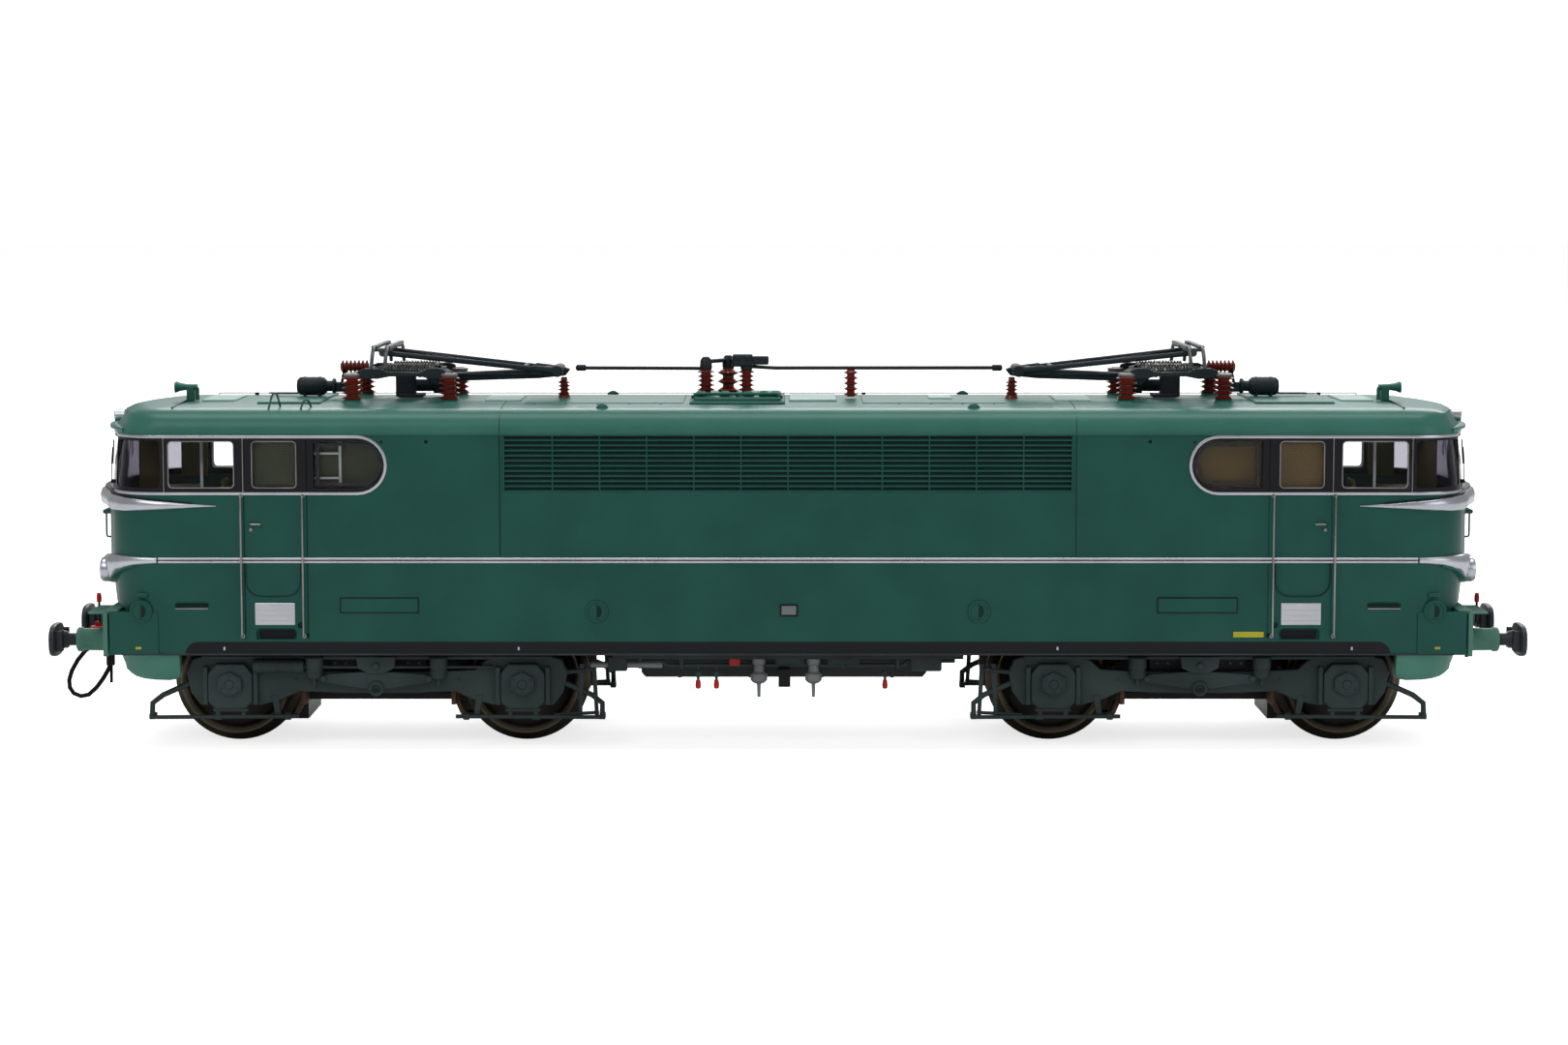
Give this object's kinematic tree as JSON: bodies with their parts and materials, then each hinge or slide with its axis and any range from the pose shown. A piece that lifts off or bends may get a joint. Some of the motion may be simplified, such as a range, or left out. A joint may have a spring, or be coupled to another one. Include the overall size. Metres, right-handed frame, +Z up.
{
  "type": "model electric locomotive",
  "caption": "Scale model of a green four-axle electric locomotive with powered swivelling bogies, sprung buffers and folding roof pantographs.",
  "frame": {"origin": "centre of the wheelbase, on the lowest point of the wheel flanges", "axes": "+X along the locomotive towards end b, +Y across it towards the far side, +Z up"},
  "size_m": [0.1862, 0.0358, 0.0503],
  "materials": {
    "body_paint": "satin blue-green paint over moulded plastic",
    "roof_paint": "satin lighter green paint",
    "window_clear": "clear moulded glazing",
    "cab_olive": "matt olive moulding",
    "silver_trim": "bright silver paint",
    "buffer_metal": "dark grey satin",
    "hose_rubber": "black matt",
    "chassis_cast": "bare zinc casting, which has nearly the density of iron",
    "motor_steel": "bright steel",
    "flywheel_brass": "turned brass",
    "board_green": "green circuit board",
    "running_gear": "matt slate grey",
    "drive_plastic": "black acetal",
    "wheel_steel": "blackened steel with bright worn treads",
    "pantograph_metal": "satin slate grey paint",
    "insulator_brown": "glossy red-brown"
  },
  "bodies": {
    "root": {"body_shell": "body_paint", "roof_cover": "roof_paint", "breaker_base": "roof_paint", "end_beam_a": "roof_paint", "end_beam_b": "roof_paint", "horn_a": "roof_paint", "horn_b": "roof_paint", "cab_glazing_a": "window_clear", "cab_glazing_b": "window_clear", "cab_interior_a": "cab_olive", "cab_interior_b": "cab_olive", "nose_trim_a": "silver_trim", "nose_trim_b": "silver_trim", "brake_hose": "hose_rubber", "chassis_frame": "chassis_cast", "motor_can": "motor_steel", "busbar": "motor_steel", "circuit_board": "board_green", "underframe_gear": "running_gear", "air_tank_a": "running_gear", "air_tank_b": "running_gear", "pantograph_base_a": "pantograph_metal", "pantograph_base_b": "pantograph_metal", "breaker_unit": "insulator_brown", "arm_rest_a": "insulator_brown", "arm_rest_b": "insulator_brown"},
    "motor_shaft": {"motor_shaft": "flywheel_brass"},
    "cardan_a": {"cardan_shaft_a": "drive_plastic"},
    "bogie_a": {"bogie_frame_a": "chassis_cast", "keeper_plate_a": "running_gear", "side_frame_a_near": "running_gear", "side_frame_a_far": "running_gear"},
    "worm_a": {"worm_a": "flywheel_brass"},
    "worm_gear_a": {"worm_gear_a": "drive_plastic"},
    "idler_a_inner": {"idler_gear_a_inner": "drive_plastic"},
    "wheelset_a_inner": {"wheelset_a_inner": "wheel_steel"},
    "idler_a_outer": {"idler_gear_a_outer": "drive_plastic"},
    "wheelset_a_outer": {"wheelset_a_outer": "wheel_steel"},
    "buffer_a_near": {"buffer_a_near": "buffer_metal"},
    "buffer_a_far": {"buffer_a_far": "buffer_metal"},
    "panto_lower_a": {"pantograph_lower_arm_a": "pantograph_metal"},
    "panto_upper_a": {"pantograph_upper_arm_a": "pantograph_metal"},
    "panto_head_a": {"pantograph_head_a": "pantograph_metal"},
    "cardan_b": {"cardan_shaft_b": "drive_plastic"},
    "bogie_b": {"bogie_frame_b": "chassis_cast", "keeper_plate_b": "running_gear", "side_frame_b_near": "running_gear", "side_frame_b_far": "running_gear"},
    "worm_b": {"worm_b": "flywheel_brass"},
    "worm_gear_b": {"worm_gear_b": "drive_plastic"},
    "idler_b_inner": {"idler_gear_b_inner": "drive_plastic"},
    "wheelset_b_inner": {"wheelset_b_inner": "wheel_steel"},
    "idler_b_outer": {"idler_gear_b_outer": "drive_plastic"},
    "wheelset_b_outer": {"wheelset_b_outer": "wheel_steel"},
    "buffer_b_near": {"buffer_b_near": "buffer_metal"},
    "buffer_b_far": {"buffer_b_far": "buffer_metal"},
    "panto_lower_b": {"pantograph_lower_arm_b": "pantograph_metal"},
    "panto_upper_b": {"pantograph_upper_arm_b": "pantograph_metal"},
    "panto_head_b": {"pantograph_head_b": "pantograph_metal"}
  },
  "joints": [
    {"name": "motor_spin", "type": "hinge", "parent": "root", "child": "motor_shaft", "pos_m": [0, 0, 0.021], "axis": [1, 0, 0], "continuous": true},
    {"name": "cardan_spin_a", "type": "hinge", "parent": "root", "child": "cardan_a", "pos_m": [-0.035, 0, 0.021], "axis": [1, 0, 0], "continuous": true},
    {"name": "bogie_swivel_a", "type": "hinge", "parent": "root", "child": "bogie_a", "pos_m": [-0.05165, 0, 0.012], "axis": [0, 0, 1], "range_deg": [-7, 7]},
    {"name": "worm_spin_a", "type": "hinge", "parent": "bogie_a", "child": "worm_a", "pos_m": [-0.05165, 0, 0.021], "axis": [1, 0, 0], "continuous": true},
    {"name": "worm_gear_spin_a", "type": "hinge", "parent": "bogie_a", "child": "worm_gear_a", "pos_m": [-0.05165, 0, 0.0136], "axis": [0, 1, 0], "continuous": true},
    {"name": "idler_spin_a_inner", "type": "hinge", "parent": "bogie_a", "child": "idler_a_inner", "pos_m": [-0.04226, 0, 0.01078], "axis": [0, 1, 0], "continuous": true},
    {"name": "wheel_spin_a_inner", "type": "hinge", "parent": "bogie_a", "child": "wheelset_a_inner", "pos_m": [-0.0333, 0, 0.0081], "axis": [0, 1, 0], "continuous": true},
    {"name": "idler_spin_a_outer", "type": "hinge", "parent": "bogie_a", "child": "idler_a_outer", "pos_m": [-0.06104, 0, 0.01078], "axis": [0, 1, 0], "continuous": true},
    {"name": "wheel_spin_a_outer", "type": "hinge", "parent": "bogie_a", "child": "wheelset_a_outer", "pos_m": [-0.07, 0, 0.0081], "axis": [0, 1, 0], "continuous": true},
    {"name": "buffer_push_a_near", "type": "slide", "parent": "root", "child": "buffer_a_near", "axis": [1, 0, 0], "range_m": [0, 0.001], "stiffness_N_per_m": 50, "springref_m": -0.001},
    {"name": "buffer_push_a_far", "type": "slide", "parent": "root", "child": "buffer_a_far", "axis": [1, 0, 0], "range_m": [0, 0.001], "stiffness_N_per_m": 50, "springref_m": -0.001},
    {"name": "panto_raise_a", "type": "hinge", "parent": "root", "child": "panto_lower_a", "pos_m": [-0.0443, 0, 0.0459], "axis": [0, -1, 0], "range_deg": [0, 56]},
    {"name": "panto_knee_a", "type": "hinge", "parent": "panto_lower_a", "child": "panto_upper_a", "pos_m": [-0.0295, 0, 0.0468], "axis": [0, -1, 0], "range_deg": [-100, 0]},
    {"name": "panto_level_a", "type": "hinge", "parent": "panto_upper_a", "child": "panto_head_a", "pos_m": [-0.0514, 0, 0.0492], "axis": [0, -1, 0], "range_deg": [0, 44]},
    {"name": "cardan_spin_b", "type": "hinge", "parent": "root", "child": "cardan_b", "pos_m": [0.035, 0, 0.021], "axis": [1, 0, 0], "continuous": true},
    {"name": "bogie_swivel_b", "type": "hinge", "parent": "root", "child": "bogie_b", "pos_m": [0.05165, 0, 0.012], "axis": [0, 0, 1], "range_deg": [-7, 7]},
    {"name": "worm_spin_b", "type": "hinge", "parent": "bogie_b", "child": "worm_b", "pos_m": [0.05165, 0, 0.021], "axis": [1, 0, 0], "continuous": true},
    {"name": "worm_gear_spin_b", "type": "hinge", "parent": "bogie_b", "child": "worm_gear_b", "pos_m": [0.05165, 0, 0.0136], "axis": [0, 1, 0], "continuous": true},
    {"name": "idler_spin_b_inner", "type": "hinge", "parent": "bogie_b", "child": "idler_b_inner", "pos_m": [0.04226, 0, 0.01078], "axis": [0, 1, 0], "continuous": true},
    {"name": "wheel_spin_b_inner", "type": "hinge", "parent": "bogie_b", "child": "wheelset_b_inner", "pos_m": [0.0333, 0, 0.0081], "axis": [0, 1, 0], "continuous": true},
    {"name": "idler_spin_b_outer", "type": "hinge", "parent": "bogie_b", "child": "idler_b_outer", "pos_m": [0.06104, 0, 0.01078], "axis": [0, 1, 0], "continuous": true},
    {"name": "wheel_spin_b_outer", "type": "hinge", "parent": "bogie_b", "child": "wheelset_b_outer", "pos_m": [0.07, 0, 0.0081], "axis": [0, 1, 0], "continuous": true},
    {"name": "buffer_push_b_near", "type": "slide", "parent": "root", "child": "buffer_b_near", "axis": [-1, 0, 0], "range_m": [0, 0.001], "stiffness_N_per_m": 50, "springref_m": -0.001},
    {"name": "buffer_push_b_far", "type": "slide", "parent": "root", "child": "buffer_b_far", "axis": [-1, 0, 0], "range_m": [0, 0.001], "stiffness_N_per_m": 50, "springref_m": -0.001},
    {"name": "panto_raise_b", "type": "hinge", "parent": "root", "child": "panto_lower_b", "pos_m": [0.0443, 0, 0.0459], "axis": [0, 1, 0], "range_deg": [0, 56]},
    {"name": "panto_knee_b", "type": "hinge", "parent": "panto_lower_b", "child": "panto_upper_b", "pos_m": [0.0295, 0, 0.0468], "axis": [0, 1, 0], "range_deg": [-100, 0]},
    {"name": "panto_level_b", "type": "hinge", "parent": "panto_upper_b", "child": "panto_head_b", "pos_m": [0.0514, 0, 0.0492], "axis": [0, 1, 0], "range_deg": [0, 44]}
  ],
  "couplings": [
    {"joint": "cardan_spin_a", "follows": "motor_spin", "ratio": 1},
    {"joint": "worm_spin_a", "follows": "motor_spin", "ratio": 1},
    {"joint": "worm_gear_spin_a", "follows": "motor_spin", "ratio": 0.083333},
    {"joint": "idler_spin_a_inner", "follows": "motor_spin", "ratio": -0.1},
    {"joint": "wheel_spin_a_inner", "follows": "motor_spin", "ratio": 0.1},
    {"joint": "idler_spin_a_outer", "follows": "motor_spin", "ratio": -0.1},
    {"joint": "wheel_spin_a_outer", "follows": "motor_spin", "ratio": 0.1},
    {"joint": "panto_knee_a", "follows": "panto_raise_a", "ratio": -1.77},
    {"joint": "panto_level_a", "follows": "panto_raise_a", "ratio": 0.77},
    {"joint": "cardan_spin_b", "follows": "motor_spin", "ratio": 1},
    {"joint": "worm_spin_b", "follows": "motor_spin", "ratio": 1},
    {"joint": "worm_gear_spin_b", "follows": "motor_spin", "ratio": 0.083333},
    {"joint": "idler_spin_b_inner", "follows": "motor_spin", "ratio": -0.1},
    {"joint": "wheel_spin_b_inner", "follows": "motor_spin", "ratio": 0.1},
    {"joint": "idler_spin_b_outer", "follows": "motor_spin", "ratio": -0.1},
    {"joint": "wheel_spin_b_outer", "follows": "motor_spin", "ratio": 0.1},
    {"joint": "panto_knee_b", "follows": "panto_raise_b", "ratio": -1.77},
    {"joint": "panto_level_b", "follows": "panto_raise_b", "ratio": 0.77}
  ]
}
